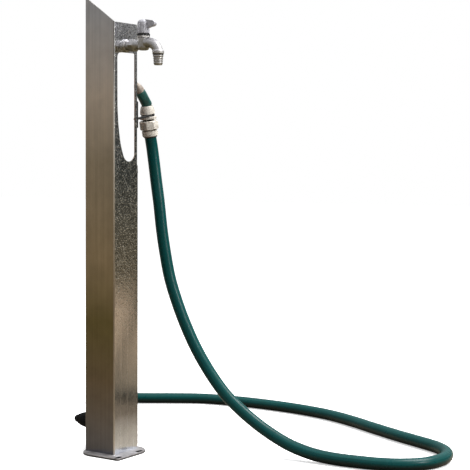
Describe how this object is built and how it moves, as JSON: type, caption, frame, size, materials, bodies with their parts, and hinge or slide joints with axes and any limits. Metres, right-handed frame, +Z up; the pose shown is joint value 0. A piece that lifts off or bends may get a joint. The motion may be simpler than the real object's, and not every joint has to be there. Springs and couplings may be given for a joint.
{
  "type": "garden standpipe",
  "caption": "Square steel garden standpipe with a slanted top, a front window, a screw-down bib tap, a rear quick-connect inlet, and a hose parked in a side holder.",
  "frame": {"origin": "on the column's axis, at the underside of the base plate", "axes": "+Z up, the tap and the front wall face -Y, the rear inlet +Y, the service side with the hose holder +X"},
  "size_m": [0.6428, 1.0543, 0.9754],
  "materials": {
    "steel": "vertical brushed stainless",
    "plate_steel": "satin stainless",
    "fastener": "bright zinc",
    "copper": "dull copper",
    "brass": "machined brass",
    "black_plastic": "fine grained",
    "black_rubber": "matte",
    "black_steel": "black powder coat",
    "tap_chrome": "satin chrome on brass",
    "handle_grey": "satin grey",
    "cream_plastic": "soiled cream white",
    "green_plastic": "soft grip",
    "hose_green": "smooth dark teal"
  },
  "bodies": {
    "standpipe": {"column_shell": "steel", "base_plate": "plate_steel", "top_cap": "steel", "lower_side_cover": "steel", "upper_side_cover": "steel", "cover_screws": "fastener", "riser_pipe": "copper", "pipe_clips": "black_plastic", "clip_screws": "fastener", "lower_elbow": "brass", "inlet_nipple": "brass", "inlet_backnut": "brass", "inlet_washer": "black_rubber", "inlet_adaptor": "black_plastic", "adaptor_o_ring": "black_rubber", "upper_elbow": "brass", "tap_backnut": "brass", "wall_flange": "tap_chrome", "tap_body": "tap_chrome", "bonnet": "tap_chrome", "gland_ring": "black_rubber", "outlet_gasket": "black_rubber", "outlet_nose": "tap_chrome", "hose_holder": "black_steel", "holder_rivets": "fastener", "nozzle_body": "green_plastic", "nozzle_o_ring": "black_rubber", "nozzle_adaptor": "cream_plastic", "adaptor_seal": "black_rubber", "connector_body": "black_plastic", "connector_nut": "cream_plastic", "connector_collar": "cream_plastic", "connector_ferrule": "black_rubber", "garden_hose": "hose_green", "end_ferrule": "black_rubber", "end_collar": "cream_plastic", "end_nut": "cream_plastic", "end_body": "black_plastic"},
    "tap_handle": {"handle": "handle_grey", "handle_screw": "fastener", "handle_button": "handle_grey", "spindle": "brass", "spindle_o_ring": "black_rubber", "spindle_clip": "fastener"},
    "tap_valve": {"valve_jumper": "brass", "seat_washer": "black_rubber"},
    "spray_tip": {"nozzle_tip": "cream_plastic"},
    "connector_release": {"connector_ring": "cream_plastic"},
    "end_release": {"end_ring": "cream_plastic"}
  },
  "joints": [
    {"name": "handle_turn", "type": "hinge", "parent": "standpipe", "child": "tap_handle", "pos_m": [0, -0.087, 0.9], "axis": [0, 0, 1], "range_deg": [0, 720]},
    {"name": "valve_lift", "type": "slide", "parent": "standpipe", "child": "tap_valve", "axis": [0, 0, 1], "range_m": [0, 0.004]},
    {"name": "nozzle_twist", "type": "hinge", "parent": "standpipe", "child": "spray_tip", "pos_m": [0.09026, -0.025, 0.74968], "axis": [-0.6561, 0, 0.7547], "range_deg": [0, 180]},
    {"name": "connector_ring_slide", "type": "slide", "parent": "standpipe", "child": "connector_release", "axis": [0.1908, 0, -0.9816], "range_m": [0, 0.003], "stiffness_N_per_m": 600},
    {"name": "end_ring_slide", "type": "slide", "parent": "standpipe", "child": "end_release", "axis": [0.5548, -0.832, 0], "range_m": [0, 0.003], "stiffness_N_per_m": 600}
  ],
  "couplings": [
    {"joint": "valve_lift", "follows": "handle_turn", "m_per_rad": 0.00031831}
  ]
}
